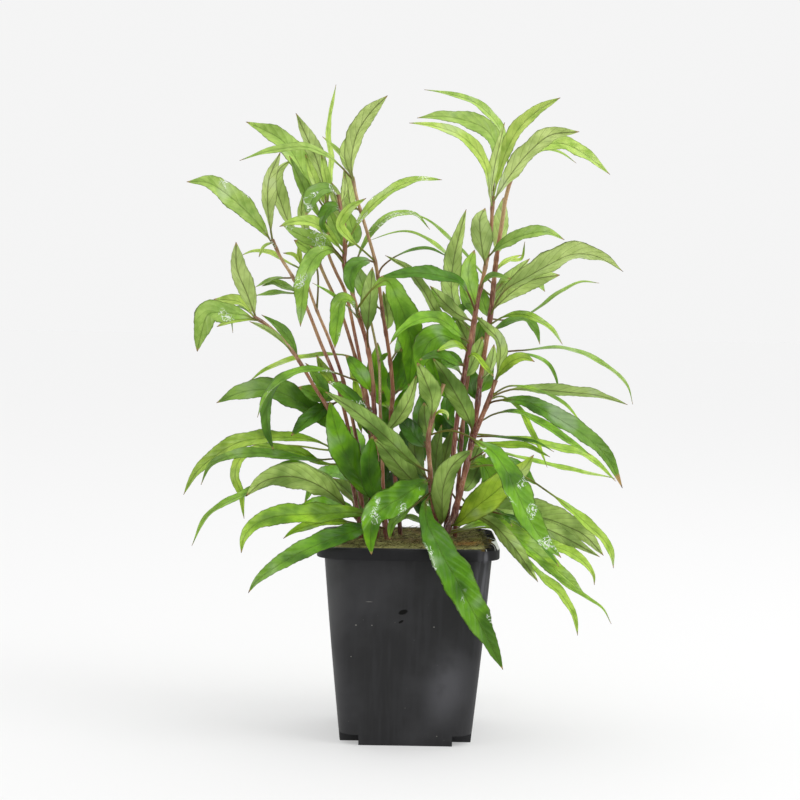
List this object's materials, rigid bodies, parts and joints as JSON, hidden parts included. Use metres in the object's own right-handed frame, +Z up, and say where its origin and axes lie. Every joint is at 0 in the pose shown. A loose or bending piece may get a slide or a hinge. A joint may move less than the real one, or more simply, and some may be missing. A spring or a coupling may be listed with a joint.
{
  "type": "potted aquarium plant",
  "caption": "Bushy potted hygrophila with thin jointed reddish stems and lance-shaped green leaves, rooted in a fibrous block in a black square nursery pot.",
  "frame": {"origin": "middle of the pot's foot, on the surface that the pot stands on", "axes": "+Z up, +X to the right and -Y towards the viewer of the picture"},
  "size_m": [0.2338, 0.1315, 0.3337],
  "materials": {
    "pot_plastic": "semi-gloss",
    "growing_block": "matt fibrous",
    "stem": "satin",
    "leaf": "glossy on top, matt below",
    "young_leaf": "satin"
  },
  "bodies": {
    "root": {"growing_block": "growing_block", "leaf_left_1_1": "leaf", "leaf_left_1_2": "leaf", "leaf_left_1_3": "leaf", "leaf_left_1_4": "leaf", "leaf_left_2_1": "leaf", "leaf_left_2_2": "young_leaf", "leaf_left_2_3": "leaf", "leaf_left_2_4": "leaf", "leaf_left_4_1": "leaf", "leaf_left_5_1": "leaf", "leaf_left_5_2": "leaf", "leaf_left_6_1": "leaf", "leaf_left_6_2": "leaf", "leaf_left_6_3": "leaf", "leaf_left_6_4": "leaf", "leaf_left_6_5": "leaf", "leaf_left_7_1": "leaf", "leaf_left_7_2": "leaf", "leaf_left_8_1": "leaf", "leaf_left_8_2": "leaf", "leaf_left_8_3": "young_leaf", "leaf_left_8_4": "leaf", "leaf_right_1_1": "leaf", "leaf_right_1_2": "leaf", "leaf_right_1_3": "leaf", "leaf_right_1_4": "leaf", "leaf_right_1_5": "leaf", "leaf_right_1_6": "leaf", "leaf_right_1_7": "leaf", "leaf_right_2_1": "leaf", "leaf_right_2_2": "young_leaf", "leaf_right_2_3": "leaf", "leaf_right_2_4": "leaf", "leaf_right_2_5": "leaf", "leaf_right_2_6": "leaf", "leaf_right_2_7": "leaf", "leaf_right_2_8": "leaf", "leaf_right_3_1": "young_leaf", "leaf_right_4_1": "leaf", "leaf_right_4_2": "leaf", "leaf_right_4_3": "leaf", "leaf_right_4_4": "leaf", "leaf_right_4_5": "young_leaf", "leaf_right_4_6": "leaf", "leaf_right_4_7": "leaf", "pot": "pot_plastic", "shoot_left_1": "stem", "shoot_left_2": "stem", "shoot_left_3": "stem", "shoot_left_4": "stem", "shoot_left_5": "stem", "shoot_left_6": "stem", "shoot_left_7": "stem", "shoot_left_8": "stem", "shoot_right_1": "stem", "shoot_right_2": "stem", "shoot_right_3": "stem", "shoot_right_4": "stem"}
  },
  "joints": []
}
